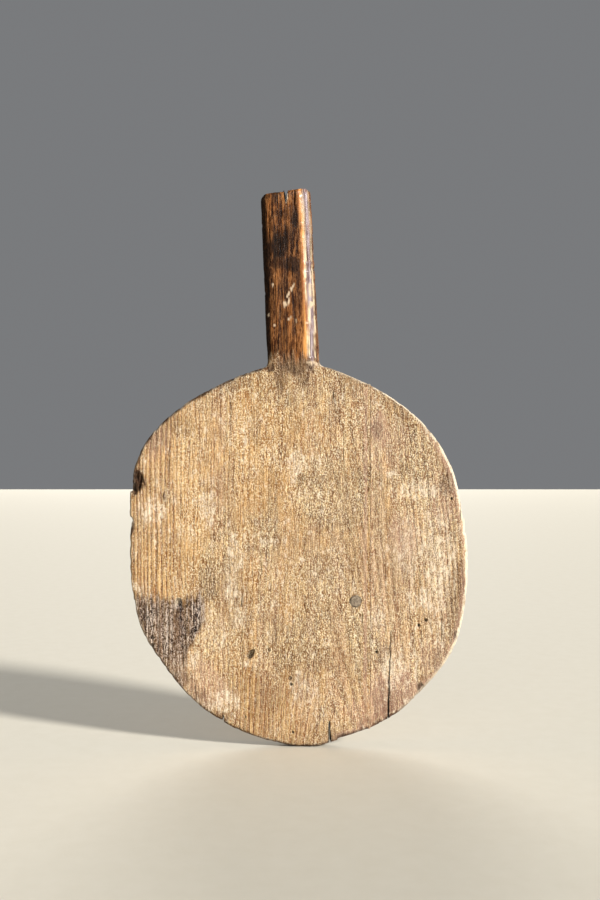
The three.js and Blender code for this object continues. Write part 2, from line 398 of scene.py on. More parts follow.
def pit_depth(p, pits):
    """Depth of the holes and knots at each point, and how far inside one it lies, from 0 to 1"""
    depth, inside = np.zeros(len(p)), np.zeros(len(p))
    rough = noise(p, 1.6, 61, 2) * 0.16
    for *oval, deep in pits:
        away = tilted(p, *oval) + rough
        depth = np.maximum(depth, deep * ramp(away, 1.08, 0.72))
        inside = np.maximum(inside, ramp(away, 1.12, 0.85) * min(0.92, 0.2 + deep / 3))
    return depth, inside


def check_depth(p, checks):
    """Depth of the closed checks at each point, and how far inside one it lies, from 0 to 1"""
    depth, inside = np.zeros(len(p)), np.zeros(len(p))
    for x0, z0, x1, z1, width, deep in checks:
        t = (p[:, 2] - z0) / (z1 - z0)
        open_here = np.sqrt(np.clip(4 * t * (1 - t), 0, 1))
        wander = 0.25 * np.sin(p[:, 2] / 2.3 + x0)
        away = np.abs(p[:, 0] - x0 - (x1 - x0) * t - wander * (width < 1))
        share = ramp(away, width * 0.62, width * 0.12) * open_here
        depth = np.maximum(depth, deep * share)
        inside = np.maximum(inside, share * min(1, 0.4 + deep / 2))
    return depth, inside


def splinter_depth(p):
    """Depth of the splinters gone from the front, and how far inside one each point lies"""
    depth, inside = np.zeros(len(p)), np.zeros(len(p))
    rough = 0.3 * noise(p, (1.8, 1.8, 5), 62, 2)
    for x, z, across, along, deep in SPLINTERS:
        away = np.hypot((p[:, 0] - x) / across, (p[:, 2] - z) / along) + rough
        steps = 0.75 + 0.25 * np.round(3 * noise(p, (1.5, 3, 9), 65))
        depth = np.maximum(depth, deep * steps.clip(0.4, 1) * ramp(away, 1.0, 0.6))
        inside = np.maximum(inside, ramp(away, 1.02, 0.75))
    return depth, inside


def on_section(loop):
    """An outline's points in space"""
    return np.c_[loop[:, 0], np.zeros(len(loop)), loop[:, 1]]


def bite_outline(loop, inward, free):
    """Chips and roughens the outline, only ever inwards, and leaves the seam straight"""
    step = np.linalg.norm(loop - np.roll(loop, 1, 0), axis=1)
    along, length = np.cumsum(step), step.sum()
    p = on_section(loop)
    taken = 0.28 * (1 + noise(p, 9, 11, 3)) + 0.4 * ramp(noise(p, (2.6, 2.6, 3.5), 12), 0.1, 0.8)
    for at, depth, taper in BITES:
        away = np.linalg.norm(loop - at, axis=1)
        if away.min() > 8:
            continue
        run = (along - along[np.argmin(away)] + length / 2) % length - length / 2
        run = run if taper > 0 else -run
        reach = abs(taper)
        ragged = 1 + 0.25 * noise(p, 2.2, 13)
        bite = depth * ragged * (1 - run / reach) * ramp(run, -0.8, 0.2) * (run < reach)
        taken = np.maximum(taken, bite)
    return loop + inward * (taken * free)[:, None]


def open_slit(front, back, cut, mouth, tip, width):
    """Cuts a check open at the edge into both outlines, all but shut at the back; cut marks its points"""
    mouth, tip = np.array(mouth, float), np.array(tip, float)
    length = np.linalg.norm(mouth - tip)
    ahead = (mouth - tip) / length
    across = np.array([-ahead[1], ahead[0]])
    rel = front - tip
    inside = (np.abs(rel @ across) < width / 2) & (rel @ ahead > 0) & (rel @ ahead < length + 6)
    if not inside.any():
        return front, back, cut
    mouth = tip + ahead * (rel[np.argmax(inside)] @ ahead)
    first = np.flatnonzero(inside & ~np.roll(inside, 1))[0]
    front, back, cut = (np.roll(a, -first, axis=0)[inside.sum() :] for a in (front, back, cut))
    side = np.sign((front[-1] - tip) @ across)
    t = np.linspace(0, 1, max(6, int(length / 1.1)))[:, None]
    centre = mouth + (tip - mouth) * t + across * 0.22 * np.sin(t * length / 3.1) * np.sqrt(t)
    half = side * across * (0.5 * width * (1 - t) ** 0.55 + 0.07)
    shut = side * across * (0.5 * width * SHUT_AT_BACK * (1 - t) + 0.06)
    front = np.vstack([front, centre + half, (centre - half)[::-1]])
    back = np.vstack([back, centre + shut, (centre - shut)[::-1]])
    return front, back, np.r_[cut, np.ones(2 * len(t), bool)]


def distance_to(points, loop, part=None):
    """Distance from each point to a closed outline or part of it, and the nearest outline point's index"""
    tree = KDTree(len(loop))
    for i in np.arange(len(loop)) if part is None else np.flatnonzero(part):
        tree.insert((*loop[i], 0), int(i))
    tree.balance()
    nearest = np.array([tree.find((x, z, 0))[1] for x, z in points], int)
    best = np.full(len(points), np.inf)
    for start in (nearest - 1, nearest):
        a, b = loop[start], loop[(start + 1) % len(loop)]
        ab = b - a
        t = np.clip(np.sum((points - a) * ab, axis=1) / np.maximum(np.sum(ab * ab, axis=1), 1e-9), 0, 1)
        best = np.minimum(best, np.linalg.norm(points - a - t[:, None] * ab, axis=1))
    return best, nearest


def contains(loop, points):
    """Whether each point is inside the outline, by counting crossings"""
    inside = np.zeros(len(points), bool)
    (x0, z0), (x1, z1) = loop.T, np.roll(loop, -1, 0).T
    slope = (x1 - x0) / np.where(z1 == z0, 1, z1 - z0)
    for start in range(0, len(points), 4000):
        x, z = points[start : start + 4000].T[:, :, None]
        crossed = ((z0 > z) != (z1 > z)) & (x < x0 + (z - z0) * slope)
        inside[start : start + 4000] = np.sum(crossed, axis=1) % 2 == 1
    return inside


def mark_points(pits, checks):
    """Extra surface points round the holes and along the checks"""
    points = []
    for x, z, across, along, tilt, _ in pits:
        c, s = math.cos(math.radians(tilt)), math.sin(math.radians(tilt))
        count = max(12, int((across + along) * 5))
        angle = np.linspace(0, 2 * np.pi, count, endpoint=False)
        for share in (0, 0.35, 0.6, 0.74, 0.86, 0.98, 1.1, 1.25):
            u, v = share * across * np.cos(angle), share * along * np.sin(angle)
            ring = np.c_[x + c * u - s * v, z + s * u + c * v]
            points.append(ring if share else ring[:1])
    for x0, z0, x1, z1, width, _ in checks:
        t = np.linspace(0, 1, max(8, int(abs(z1 - z0) / 0.9)))
        for offset in (-0.7, -0.3, 0, 0.3, 0.7):
            x = x0 + (x1 - x0) * t + 0.25 * np.sin((z0 + (z1 - z0) * t) / 2.3 + x0) * (width < 1)
            points.append(np.c_[x + offset * width, z0 + (z1 - z0) * t])
    return np.vstack(points)


def crowded(grid, marks):
    """Which grid points lie so close to a mark's points that they only make slivers"""
    cell = 0.8
    taken = {tuple(c) for c in np.floor(marks / cell).astype(int)}
    return np.array([tuple(c) in taken for c in np.floor(grid / cell).astype(int)])


class Outline:
    """A board's outline with its wear, and for each point the rounding of the rim there"""

    def __init__(self, node):
        loop, neck = resample(section(node))
        seam = np.abs(loop[:, 0] - SEAM) < 1.0
        loop[seam, 0] = SEAM + np.sign(loop[~seam, 0].mean() - SEAM) * HALF_JOINT
        free = (~seam).astype(float)
        loop = soften(loop, free, 5)
        self.neck = sorted(neck, key=lambda c: c[0])
        self.neck_height = self.neck[0][1] if self.neck else 0.0
        for corner in self.neck:
            near = ramp(np.linalg.norm(loop - corner, axis=1), 6, 2.5)
            loop = soften(loop, near, 8)
        inward = normals_of(loop)
        self.end = (inward[:, 1] < -0.75) & (loop[:, 1] > TOP - 12) & bool(self.neck)
        self.rim = self.rim_radius(loop, inward, seam)
        self.whole, self.inward = bite_outline(loop, inward, free), inward
        front, back, cut = self.whole, self.whole, np.zeros(len(loop), bool)
        for mouth, tip, width in SLITS:
            front, back, cut = open_slit(front, back, cut, mouth, tip, width)
        self.front, self.back, self.cut = [front], [back], [cut]
        if self.neck:
            self.bore_for_peg()

    def bore_for_peg(self):
        """The hand-bored hole that the peg sits in"""
        angle = -np.linspace(0, 2 * np.pi, 40, endpoint=False)
        radius = PEG_RADIUS + 0.2 + 0.1 * np.sin(3 * angle) + 0.06 * np.sin(8 * angle + 1)
        hole = np.c_[peg_x + radius * np.cos(angle), peg_z + radius * np.sin(angle)]
        self.front.append(hole)
        self.back.append(hole)
        self.cut.append(np.ones(len(hole), bool))

    def rim_radius(self, loop, inward, seam):
        """How far in the rim's rounding reaches at each point: least at the joint, most on the handle"""
        p = on_section(loop)
        rim = 2.7 + 0.9 * noise(p, 26, 17, 2) + 1.6 * ramp(-inward[:, 0], 0.7, 1.0)
        if self.neck:
            (left, z), (right, _) = self.neck
            on_handle = ramp(loop[:, 1], z + 1, z + 9)
            side = np.where(loop[:, 0] > (left + right) / 2 - LEAN * (loop[:, 1] - z), 10.0, 6.5)
            rim = rim + (side + 0.8 * noise(p, 30, 18) - rim) * on_handle
        rim = np.where(seam, 0.34 + 0.2 * noise(p, 9, 19), rim)
        for _ in range(10):
            level = (np.roll(rim, 1) + 2 * rim + np.roll(rim, -1)) / 4
            rim = np.where(seam, rim, level)
        return np.where(self.end, 3.0 + 0.6 * noise(p, 6, 16), rim)


def round_off(distance, radius, fullness):
    """How far the surface falls away at a distance in from a rim; fullness 2 is a round, 1 a bevel"""
    t = np.clip(1 - distance / radius, 0, 1)
    return radius * (1 - (1 - t**fullness) ** (1 / fullness))


class Sheet:
    """One side of a board as flat triangles over (x, z), and how far each point is from the rim"""

    def __init__(self, outline, loops, spacing, shares, marks):
        points = self.spread(outline, loops, spacing, shares, marks)
        edges, start = [], 0
        for loop in loops:
            edges += [(start + i, start + (i + 1) % len(loop)) for i in range(len(loop))]
            start += len(loop)
        verts, _, faces, origin, _, _ = delaunay_2d_cdt([Vector(p) for p in points], edges, [], 1, 1e-4)
        place = {old: new for new, olds in enumerate(origin) for old in olds}
        ends = np.cumsum([0] + [len(loop) for loop in loops])
        self.rings = [np.array([place[i] for i in range(a, b)]) for a, b in zip(ends, ends[1:])]
        holes = [set(ring) for ring in self.rings[1:]]
        self.faces = [f for f in faces if not any(hole.issuperset(f) for hole in holes)]
        self.flat = np.array([v[:] for v in verts])
        self.away, nearest = distance_to(self.flat, outline.whole)
        self.facing = outline.inward[nearest]
        self.side_away, nearest = distance_to(self.flat, outline.whole, ~outline.end)
        self.rim = outline.rim[nearest]
        self.end_away = np.full(len(self.flat), 99.0)
        if outline.neck:
            self.end_away, _ = distance_to(self.flat, outline.whole, outline.end)
        self.cut_away = np.full(len(self.flat), 9.0)
        for loop, cut in zip(loops, outline.cut):
            away, nearest = distance_to(self.flat, loop)
            self.cut_away = np.minimum(self.cut_away, np.where(cut[nearest], away, 9.0))

    @staticmethod
    def spread(outline, loops, spacing, shares, marks):
        """The outlines' points, rows just inside the rim, a grid, and points of the marks' own"""
        def clear(points, gap):
            """Which points are on the wood, further than a gap from every outline"""
            good = contains(loops[0], points)
            for loop in loops[1:]:
                good &= ~contains(loop, points)
            for loop in loops:
                away, _ = distance_to(points, loop)
                good &= away > gap
            return good

        low, high = loops[0].min(0), loops[0].max(0)
        grid = np.stack(np.meshgrid(*(np.arange(a, b, s) for a, b, s in zip(low, high, spacing))), -1)
        grid[1::2, :, 0] += spacing[0] / 2
        grid = grid.reshape(-1, 2)
        away, nearest = distance_to(grid, outline.whole)
        grid = grid[away > np.maximum(0.4, outline.rim[nearest])]
        grid = grid[clear(grid, 0.4)]
        rows = []
        for loop, cut in zip(loops, outline.cut):
            inward = normals_of(loop)
            _, nearest = distance_to(loop, outline.whole)
            radius = np.where(cut, CUT_ROUNDING, outline.rim[nearest])
            for share in shares:
                offset = share * radius
                keep = offset > 0.08
                row = (loop + inward * offset[:, None])[keep]
                rows.append(row[clear(row, 0.9 * offset[keep])])
        marks = marks[clear(marks, 0.5)]
        return np.vstack(loops + rows + [grid[~crowded(grid, marks)], marks])


class Board:
    """A board's mesh: a front, a back, and an edge that joins them"""

    def __init__(self, node):
        self.tree = TREES[node]
        self.outline = outline = Outline(node)
        marks, back_marks = mark_points(PITS, CHECKS), mark_points(BACK_PITS, BACK_CHECKS)
        self.front = Sheet(outline, outline.front, FRONT_SPACING, RIM_ROWS, marks)
        self.back = Sheet(outline, outline.back, BACK_SPACING, RIM_ROWS[1::2], back_marks)
        self.assemble()

    def across_handle(self, p):
        """Distance across the handle from its middle line, or far away on a board without one"""
        if not self.outline.neck:
            return np.full(len(p), 99.0)
        (left, z), (right, _) = self.outline.neck
        return p[:, 0] - (left + right) / 2 + LEAN * (p[:, 2] - z)

    def handle_share(self, p):
        """0 on the blade, 1 on the handle"""
        z = self.outline.neck_height
        return ramp(p[:, 2], z - 6, z + 6) * (np.abs(self.across_handle(p)) < 26)

    def weather(self, p):
        """How deeply weather has etched the rings, from 0 to 1: most at the left edge and the far end"""
        left = ramp(p[:, 0] + 9 * noise(p, (30, 30, 40), 22), -84, -118)
        far = ramp(p[:, 2] + 9 * noise(p, 20, 26), 82, 48)
        far = far * ramp(p[:, 0], -80, -50) * ramp(p[:, 0], 34, 8)
        right = 0.6 * ramp(p[:, 0], 104, 126)
        rest = 0.3 + 0.25 * noise(p, (34, 34, 50), 27, 2)
        return np.maximum(np.maximum(left, far), np.maximum(right, rest)).clip(0, 1)

    def relief(self, p, front):
        """How far wear and weather have eaten into a face, never less than 0"""
        seed = 0 if front else 400
        handle = self.handle_share(p)
        etched = 0.08 + 0.5 * (self.weather(p) if front else 0.4 + 0.3 * noise(p, (50, 50, 70), 421, 2))
        late = latewood(rings(p, self.tree))
        waves = 0.3 * (1 + noise(p, (48, 48, 80), 23 + seed, 2))
        waves += 0.14 * (1 + noise(p, (7, 7, 20), 24 + seed, 2))
        scuffs_and_glint = 0.13 * (1 + noise(p, (1.7, 1.7, 4), 25 + seed, 2))
        depth = waves + (etched * (1 - late) + scuffs_and_glint) * (1 - 0.7 * handle)
        pits, checks = (PITS, CHECKS) if front else (BACK_PITS, BACK_CHECKS)
        return depth + pit_depth(p, pits)[0] + check_depth(p, checks)[0]

    def face_points(self, sheet, front):
        """The sheet's points in space, sunk by the rim's rounding, the wear and the splinters"""
        x, z = sheet.flat.T
        p = np.c_[x, front_plane(z) if front else np.full(len(z), BACK), z]
        fullness = 2 - self.handle_share(p) * np.where(self.across_handle(p) > 0, 0.6, 0.2)
        drop = round_off(sheet.side_away, sheet.rim, fullness)
        drop = np.maximum(drop, round_off(sheet.end_away, END_ROUNDING, 2))
        drop = np.maximum(drop, round_off(sheet.cut_away, CUT_ROUNDING, 2))
        fall = drop + self.relief(p, front) * (0.35 + 0.65 * ramp(sheet.away, 0.2, 2.5))
        if front:
            fall = np.maximum(fall, splinter_depth(p)[0])
        p[:, 1] += fall if front else -fall
        return p

    def assemble(self):
        """Every point and face of the mesh, and how far each point is from the rim"""
        front, back = self.face_points(self.front, True), self.face_points(self.back, False)
        blocks, start = [front, back], len(front) + len(back)
        faces = [tuple(f) for f in self.front.faces]
        faces += [tuple(i + len(front) for i in reversed(f)) for f in self.back.faces]
        sources = []
        for ring, back_ring, cut in zip(self.front.rings, self.back.rings, self.outline.cut):
            inward = normals_of(self.front.flat[ring])
            tiers = [ring]
            for row in range(1, WALL_ROWS + 1):
                t = row / (WALL_ROWS + 1)
                p = front[ring] * (1 - t) + back[back_ring] * t
                late = latewood(rings(p, self.tree))
                worn = 0.16 * (1 - late) + 0.12 * (1 + noise(p, 2.2, 41, 2))
                worn += 0.1 * (1 + noise(p, 11, 42))
                p[:, [0, 2]] += inward * (worn * math.sin(math.pi * t) * ~cut)[:, None]
                blocks.append(p)
                sources.append(ring)
                tiers.append(start + np.arange(len(ring)))
                start += len(ring)
            tiers.append(back_ring + len(front))
            for upper, lower in zip(tiers, tiers[1:]):
                strip = np.c_[np.roll(upper, -1), upper, lower, np.roll(lower, -1)]
                faces += [tuple(f) for f in strip.tolist()]
        self.points, self.all_faces = np.vstack(blocks), faces
        from_front = np.concatenate(sources)
        index = np.arange(len(self.points))
        self.is_front, self.is_wall = index < len(front), index >= len(front) + len(back)
        for key in ("away", "rim", "facing", "cut_away", "end_away"):
            values = getattr(self.front, key)
            setattr(self, key, np.concatenate([values, getattr(self.back, key), values[from_front]]))

    def rim_marks(self, p, handle):
        """Along the rim: pale wear with a painted highlight where the rim faces the light, painted shade
        where it faces away, a reddish edge, and a broad brown border
        """
        away = np.where(self.is_wall, 0, self.away)
        ragged = noise(p, (5, 5, 11), 51, 3)
        is_rim = self.rim > 1
        to_right = ramp(-self.facing[:, 0], 0.55, 0.95)
        to_left = ramp(self.facing[:, 0], 0.1, 0.6)
        lower = ramp(self.facing[:, 1], 0.2, 0.9)
        upper_right = ramp(-self.facing[:, 0], 0.3, 0.5) * ramp(-self.facing[:, 1], 0.1, 0.3)
        upper_left = ramp(0.6 * self.facing[:, 0] - 0.8 * self.facing[:, 1], 0.5, 0.9)

        # Pale wear, strongest on the rims that face the light, and a thin painted highlight along the upper
        # right rim: partly real wear, partly painted highlight
        wear = np.maximum(to_right * ramp(ragged, -0.8, -0.2), 0.25 * ramp(ragged, 0, 0.5))
        wear = ramp(away + 0.7 * ragged, 2.6, 1.5) * is_rim * wear * (1 - handle)
        painted_highlight_line = 0.9 * ramp(away + 0.5 * ragged, 1.5, 0.7) * upper_right * ramp(ragged, -0.6, -0.1)
        by_front = ramp(p[:, 1] - front_plane(p[:, 2]), 7, 2.5)
        wear = np.maximum(wear, painted_highlight_line) * np.maximum(by_front, 0.25 * ramp(ragged, 0.0, 0.4))

        # Painted shade: the rims that face away from the light, to the upper left and downwards, are
        # darkened
        dark = ramp(away + 0.9 * ragged, 2.7, 1.1) * is_rim * (1 - to_right)
        dark = dark * np.clip(0.3 + 0.7 * upper_left + 0.5 * lower, 0, 1)
        dark = dark * ramp(noise(p, 9, 55, 2), -0.8, -0.2) * np.where(self.is_wall, 0.6, 1)

        red = 0.9 * ramp(away + 2.2 * ragged, 6.5, 1.5) * lower * ramp(p[:, 0], 14, 44) * is_rim
        inner = ramp(away, 1.8, 3.2) * ramp(away + 1.2 * ragged, 6.5, 3.5) * to_right * (1 - handle)
        brown = 0.6 * ramp(away + 6 * ragged, 22, 4) * is_rim * (1 - 0.7 * to_left) * (1 - handle)
        return wear, dark, np.maximum(red, 0.7 * inner), brown

    def blade_marks(self, p, handle):
        """Stains, flour, wear, and painted shade on the rims, in the chips and inside holes, checks and
        gaps
        """
        front, back = self.is_front, ~self.is_front & ~self.is_wall
        wear, rim_shade, red_rim, brown_rim = self.rim_marks(p, handle)
        splinter = splinter_depth(p)[1] * front
        tar = hearth_stain(p) * front
        grime = np.where(front, blotches(p, GRIME_AND_SHADE, 53), blotches(p, BACK_GRIME, 54, 1.1))
        # Painted shade: the rims that face away from the light and the chips are darkened along with the
        # grime
        grime = np.maximum(grime, np.maximum(tar, np.maximum(0.35 * rim_shade, 0.8 * splinter)))
        flour = np.where(front, blotches(p, FLOUR, 57, 0.9), blotches(p, BACK_FLOUR, 58, 0.9))
        flour = np.maximum(flour, 0.4 * ramp(noise(p, (9, 9, 15), 59, 3), -0.1, 0.7)) * (1 - handle)
        # Painted shade inside the holes and checks, darker the deeper they are
        pits = np.where(front, pit_depth(p, PITS)[1], pit_depth(p, BACK_PITS)[1] * back)
        checks = np.where(front, check_depth(p, CHECKS)[1], check_depth(p, BACK_CHECKS)[1] * back)
        by_peg = np.hypot(p[:, 0] - peg_x, p[:, 2] - peg_z) < PEG_RADIUS + 2
        # Painted shade inside the open checks and the peg's hole, lighter where the peg fills it
        in_cut = ramp(self.cut_away, 0.5, 0.1) * np.where(by_peg & ~self.is_wall, 0.45, 1)
        return {
            "weather": np.where(front, self.weather(p), 0.45),
            "grime": grime * (1 - 0.9 * wear),
            "tar": tar,
            # Painted shade on the rims and in the chips, weaker in the chips on the lit right
            "scorch": np.maximum(rim_shade, splinter * np.where(p[:, 0] < 60, 1, 0.4)) * (1 - handle),
            "rust": np.where(front, np.maximum(blotches(p, RUST, 56), red_rim), 0.12),
            "flour": flour * (1 - 0.35 * grime),
            "wear": wear,
            "gold": np.where(front, blotches(p, GOLD, 71, 0.7), 0.3 + 0.3 * noise(p, (50, 50, 80), 60)),
            "umber": np.maximum(np.where(front, blotches(p, UMBER, 72, 0.7), 0.35), brown_rim),
            "pit": np.clip(np.maximum(np.maximum(pits, checks), in_cut), 0, 1),
        }

    def handle_marks(self, p, handle):
        """Dark and rubbed patches, with painted shade down the left side; the pale lines along the right,
        the outer one a painted highlight; the painted reflection on the flat there; scuffs, one a painted
        highlight at the neck; and shine
        """
        front, polish, across = self.is_front, self.polish(p), self.across_handle(p)
        swing = 1.2 * ramp(p[:, 2], 346, 330)
        from_edge = across - 0.7 * noise(p * (0, 0, 1), (1, 1, 24), 66, 2) + swing
        broken = noise(p, (1.4, 5, 14), 70, 3)
        strip = ramp(from_edge, 8.6, 11.6) * ramp(from_edge, 14.2, 13.4)
        # Painted reflection: the lilac and dark streaks on the flat along the right
        facet = ramp(from_edge, 14.2, 15.0) * ramp(from_edge, 18.8, 18.0)
        # The line at the arris is worn pale wood; the one at the end of the flat is a painted highlight
        lines = ramp(np.abs(from_edge - ARRIS), 1.1, 0.5)
        lines = np.maximum(lines, 0.7 * ramp(np.abs(from_edge - FLAT_END), 1.0, 0.4))
        lines = lines * ramp(p[:, 2], 440, 400).clip(0.35, 1)
        left_line = ramp(np.abs(across - LEFT_LINE), 1.3, 0.5) * ramp(broken, -0.6, 0.0)
        on_end = ramp(self.end_away, 2.5, 0.8)
        in_lee = np.maximum(ramp(across, -8, -14), ramp(p[:, 1], 2, 6) * ramp(across, 10, 16)) * handle
        torn, scuffs_and_glint = 0.9 * noise(p, (0.9, 2, 1.8), 68, 2), np.zeros(len(p))
        for oval in SCUFFS_AND_GLINT:
            scuffs_and_glint = np.maximum(scuffs_and_glint, ramp(tilted(p, *oval) + torn, 1.0, 0.6))
        # The ramp paints shade down the handle's left side, which faces away from the light
        soot = np.maximum(blotches(p, SOOT_AND_SHADE, 64, 0.9), ramp(across, -16.6, -18.4))
        return {
            "polish": polish,
            "soot": np.where(front, soot, 0.45),
            "amber": np.maximum(blotches(p, AMBER, 69, 0.9), 0.6 * left_line) * front,
            "arris": strip * ramp(broken, -0.75, -0.2) * polish * front,
            "cream": lines * ramp(broken, -0.5, -0.1) * polish * front,
            "facet": facet * ramp(broken, -0.7, -0.1) * front,
            "sheen": ramp(from_edge, 10, 14) * (1 - on_end) * ramp(p[:, 1], 3, -1),
            "scuff": scuffs_and_glint * front,
            "lee": np.maximum(in_lee, on_end),
        }

    def marks(self):
        """What the material reads at each point, each from 0 to 1 apart from the ring count"""
        p, handle = self.points, self.handle_share(self.points)
        return {"ring": rings(p, self.tree), **self.blade_marks(p, handle), **self.handle_marks(p, handle)}

    def polish(self, p):
        """Where hands have polished the wood: the handle, fading raggedly into the neck"""
        z = self.outline.neck_height
        torn = 10 * noise(p, (2.2, 8, 16), 63, 3)
        return ramp(p[:, 2] + torn, z - 2, z + 12) * (np.abs(self.across_handle(p)) < 27)

    def make(self, name, material):
        """The board as an object of the scene"""
        board = make_object(name, self.points, self.all_faces, self.marks(), material)
        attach(board, "root")
        return board


# -------- materials

class Graph:
    """A material's node graph, built with short calls that return output sockets"""

    def __init__(self, name):
        self.material = bpy.data.materials.new(name)
        self.material.use_nodes = True
        self.tree = self.material.node_tree
        self.shader = self.tree.nodes["Principled BSDF"]
        self.place = self.node("ShaderNodeTexCoord").outputs["Object"]

    def node(self, kind, values=(), **settings):
        made = self.tree.nodes.new(kind)
        for key, value in settings.items():
            setattr(made, key, value)
        for socket, value in dict(values).items():
            self.feed(made.inputs[socket], value)
        return made

    def feed(self, socket, value):
        if isinstance(value, bpy.types.NodeSocket):
            self.tree.links.new(value, socket)
        else:
            socket.default_value = value

    def read(self, name):
        return self.node("ShaderNodeAttribute", attribute_name=name).outputs["Fac"]

    def math(self, operation, a, b=0.0):
        return self.node("ShaderNodeMath", {0: a, 1: b}, operation=operation).outputs[0]

    def times(self, a, b):
        return self.math("MULTIPLY", a, b)

    def plus(self, a, b):
        return self.math("ADD", a, b)

    def most(self, a, b):
        return self.math("MAXIMUM", a, b)

    def rest(self, value):
        """What a value leaves of 1"""
        return self.math("SUBTRACT", 1.0, value)

    def between(self, value, low, high, new_low=0.0, new_high=1.0):
        """value carried smoothly from one range to another"""
        inputs = {"Value": value, "From Min": low, "From Max": high, "To Min": new_low, "To Max": new_high}
        return self.node("ShaderNodeMapRange", inputs, interpolation_type="SMOOTHSTEP").outputs["Result"]

    def mix(self, share, a, b, blend="MIX"):
        mixer = self.node("ShaderNodeMix", {0: share, 6: a, 7: b}, data_type="RGBA", blend_type=blend)
        return mixer.outputs[2]

    def layers(self, colour, *layers):
        """Colours laid over one another, each with the share that it covers"""
        for share, over in layers:
            colour = self.mix(share, colour, over)
        return colour

    def shade(self, share, colour, tint):
        """The colour darkened by a tint, so that it keeps its hue"""
        return self.mix(share, colour, tint, "MULTIPLY")

    def speckle(self, across, along, detail, roughness, seed):
        """Noise from 0 to 1 with that many cells per metre across and along the grain"""
        cells = {"Vector": self.place, "Scale": (across, across, along)}
        place = self.node("ShaderNodeMapping", cells).outputs[0]
        inputs = {"Vector": place, "Scale": 1.0, "Detail": detail, "Roughness": roughness, "W": seed}
        return self.node("ShaderNodeTexNoise", inputs, noise_dimensions="4D").outputs["Fac"]

    def surface(self, colour, roughness, height, strength, distance):
        """Gives the shader its colour, its roughness and a bump from a pattern of heights"""
        bump = self.node("ShaderNodeBump", {"Strength": strength, "Distance": distance, "Height": height})
        self.feed(self.shader.inputs["Base Color"], colour)
        self.feed(self.shader.inputs["Roughness"], roughness)
        self.feed(self.shader.inputs["Normal"], bump.outputs[0])


def rgb(red, green, blue):
    """A linear colour from sRGB values of 0 to 255"""
    linear = [((c / 255 + 0.055) / 1.055) ** 2.4 if c > 10 else c / 255 / 12.92 for c in (red, green, blue)]
    return (*linear, 1.0)


# What the mesh holds at each point, for the material to read
READ_MARKS = (
    "ring", "weather", "grime", "tar", "scorch", "rust", "flour", "polish", "soot", "amber", "arris",
    "cream", "facet", "sheen", "scuff", "lee", "wear", "gold", "umber", "pit",
)
# The patterns that pine is mixed from: cells per metre across and along the grain, detail, roughness, seed
PINE_PATTERNS = {
    "bands": (85, 1.5, 2, 0.5, 19),
    "lines": (640, 5, 3, 0.6, 21),
    "fibres": (1000, 60, 4, 0.62, 0),
    "streaks": (380, 17, 4, 0.62, 3),
    "strokes": (900, 230, 3, 0.66, 17),
    "grit": (420, 290, 6, 0.78, 5),
    "fine_grit": (1120, 820, 2, 0.65, 7),
    "flecks": (230, 120, 6, 0.8, 13),
    "curls": (190, 130, 2, 0.6, 23),
    "mottle": (130, 60, 6, 0.7, 15),
    "patches": (44, 24, 4, 0.6, 11),
    "cloud": (34, 18, 5, 0.65, 9),
}


def pine_textures(g, seed):
    """Every mark and pattern by name, and from them the hard and soft wood and how rough it is"""
    t = SimpleNamespace(**{key: g.read(key) for key in READ_MARKS})
    for key, (across, along, detail, roughness, step) in PINE_PATTERNS.items():
        setattr(t, key, g.speckle(across, along, detail, roughness, seed + step))
    part = g.math("FRACT", t.ring)
    t.hard = g.times(g.between(part, 0.16, 0.5), g.between(part, 1.0, 0.9))
    t.soft = g.rest(t.hard)
    smooth = g.most(g.times(t.weather, 0.4), g.times(t.rust, 0.8))
    t.rough = g.times(g.between(t.patches, 0.36, 0.6, 0.5, 1.0), g.rest(smooth))
    t.rough = g.most(g.times(t.rough, g.between(t.grime, 0.3, 1.0, 1.0, 0.45)), t.tar)
    return t


def bare_wood(g, t, early, late):
    """Bands as wide as several rings, zones of gold and brown, the rings themselves, and what dulls them"""
    brown = g.times(t.umber, g.between(t.mottle, 0.3, 0.6, 0.6, 1.0))
    etched = g.times(t.soft, g.between(t.weather, 0.1, 0.8, 0.3, 1.0))
    colour = g.layers(
        early,
        (g.between(t.bands, 0.51, 0.58, 0.0, 0.6), rgb(232, 180, 112)),
        (g.between(t.bands, 0.49, 0.42, 0.0, 0.55), rgb(204, 158, 126)),
        (g.times(t.gold, 0.85), rgb(255, 210, 146)),
        (brown, rgb(178, 148, 110)),
        (etched, g.mix(g.between(t.weather, 0.3, 0.9), late, rgb(150, 104, 62))),
    )
    for pattern, low, high, share, tint in (
        (t.lines, 0.5, 0.66, 0.7, rgb(180, 150, 120)),
        (t.streaks, 0.47, 0.66, 0.8, rgb(196, 164, 132)),
        (t.fibres, 0.52, 0.68, 0.95, rgb(166, 134, 102)),
        (t.mottle, 0.46, 0.66, 0.5, rgb(196, 182, 168)),
        (t.cloud, 0.44, 0.66, 0.6, rgb(196, 184, 172)),
    ):
        colour = g.shade(g.between(pattern, low, high, 0.0, share), colour, tint)
    return g.mix(g.times(t.flour, 0.3), colour, rgb(236, 208, 180))


def stained(g, t, colour):
    """Reddish brown soaked into the wood, grime and tar over it with painted shade at the rims and chips,
    and painted shade inside holes, checks and gaps
    """
    soaked = g.times(t.rust, g.between(t.streaks, 0.2, 0.6, 0.6, 1.0))
    torn = g.times(g.between(t.strokes, 0.4, 0.6, 1.0, 0.75), g.between(t.streaks, 0.38, 0.6, 0.8, 1.0))
    return g.layers(
        colour,
        (soaked, g.mix(g.between(t.rust, 0.5, 0.95), rgb(208, 168, 148), rgb(114, 70, 54))),
        (g.times(t.grime, torn), g.mix(t.tar, rgb(72, 54, 42), rgb(40, 25, 21))),
        (g.times(t.pit, 0.8), g.mix(g.between(t.grit, 0.4, 0.62), rgb(34, 24, 18), rgb(74, 58, 45))),
    )


